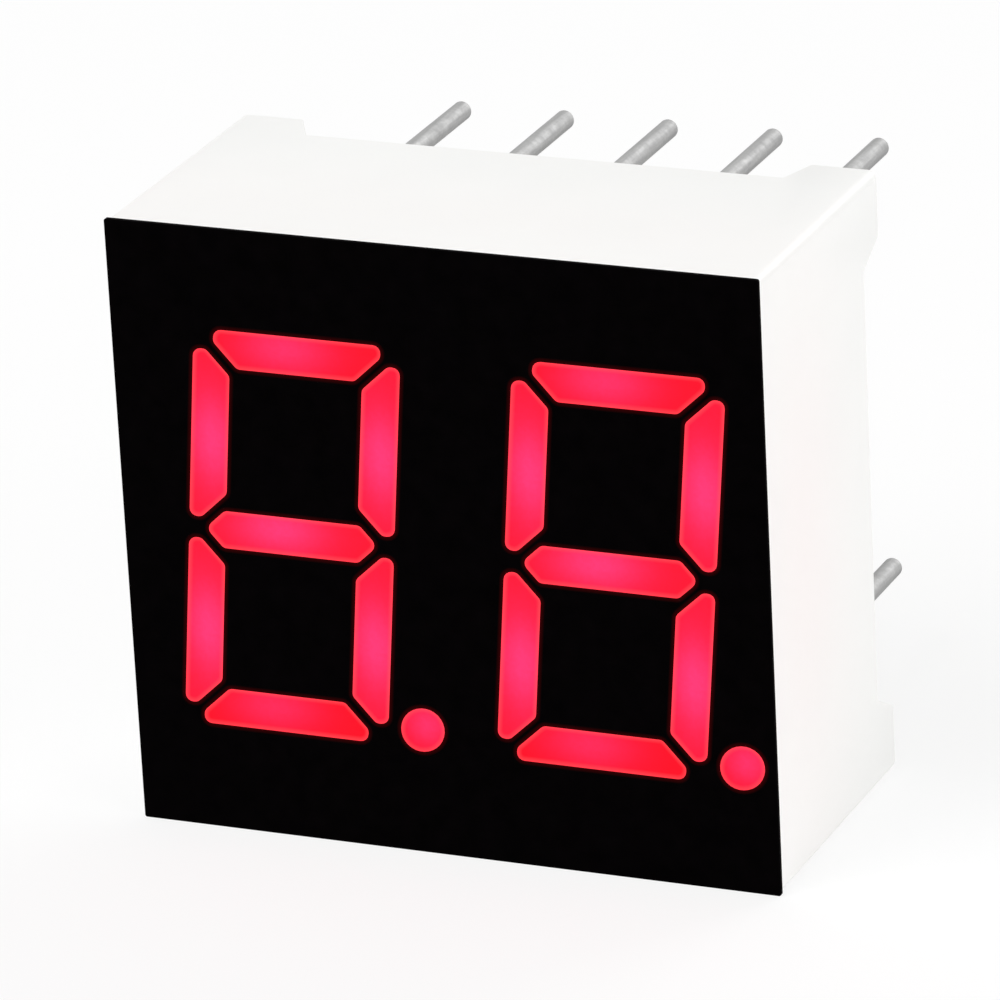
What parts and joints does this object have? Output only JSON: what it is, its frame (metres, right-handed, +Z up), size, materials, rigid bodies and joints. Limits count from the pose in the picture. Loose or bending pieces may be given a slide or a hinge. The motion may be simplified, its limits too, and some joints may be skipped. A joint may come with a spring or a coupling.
{
  "type": "seven segment display",
  "caption": "Small two-digit LED numeric display block: a white housing with a black face, slanted glowing red digits with decimal points, and rows of straight solder pins at the back.",
  "frame": {"origin": "middle of the bottom side, halfway along the whole depth with the pins, at the lowest level", "axes": "+Z up the digits, -Y out of the lit face, +Y along the pins, +X to the right as the digits are read"},
  "size_m": [0.015, 0.0138, 0.014],
  "materials": {
    "housing_plastic": "smooth white moulded plastic with a soft gloss",
    "face_ink": "matt black printed layer",
    "lit_resin": "diffused red resin, lit from behind",
    "back_resin": "milky cast resin with a glossy surface",
    "board": "glass-epoxy laminate with copper pads",
    "chip": "polished semiconductor crystal",
    "gold_wire": "drawn gold wire",
    "solder": "bright solder",
    "tinned_pin": "tin-plated wire, dull silver"
  },
  "bodies": {
    "root": {"housing": "housing_plastic", "face_film": "face_ink", "left_segment_a": "lit_resin", "left_segment_b": "lit_resin", "left_segment_c": "lit_resin", "left_segment_d": "lit_resin", "left_segment_e": "lit_resin", "left_segment_f": "lit_resin", "left_segment_g": "lit_resin", "left_point": "lit_resin", "right_segment_a": "lit_resin", "right_segment_b": "lit_resin", "right_segment_c": "lit_resin", "right_segment_d": "lit_resin", "right_segment_e": "lit_resin", "right_segment_f": "lit_resin", "right_segment_g": "lit_resin", "right_point": "lit_resin", "left_die_a": "chip", "left_die_b": "chip", "left_die_c": "chip", "left_die_d": "chip", "left_die_e": "chip", "left_die_f": "chip", "left_die_g": "chip", "left_die_point": "chip", "right_die_a": "chip", "right_die_b": "chip", "right_die_c": "chip", "right_die_d": "chip", "right_die_e": "chip", "right_die_f": "chip", "right_die_g": "chip", "right_die_point": "chip", "bond_wires": "gold_wire", "circuit_board": "board", "solder_joints": "solder", "back_potting": "back_resin", "pin_1": "tinned_pin", "pin_2": "tinned_pin", "pin_3": "tinned_pin", "pin_4": "tinned_pin", "pin_5": "tinned_pin", "pin_6": "tinned_pin", "pin_7": "tinned_pin", "pin_8": "tinned_pin", "pin_9": "tinned_pin", "pin_10": "tinned_pin"}
  },
  "joints": []
}
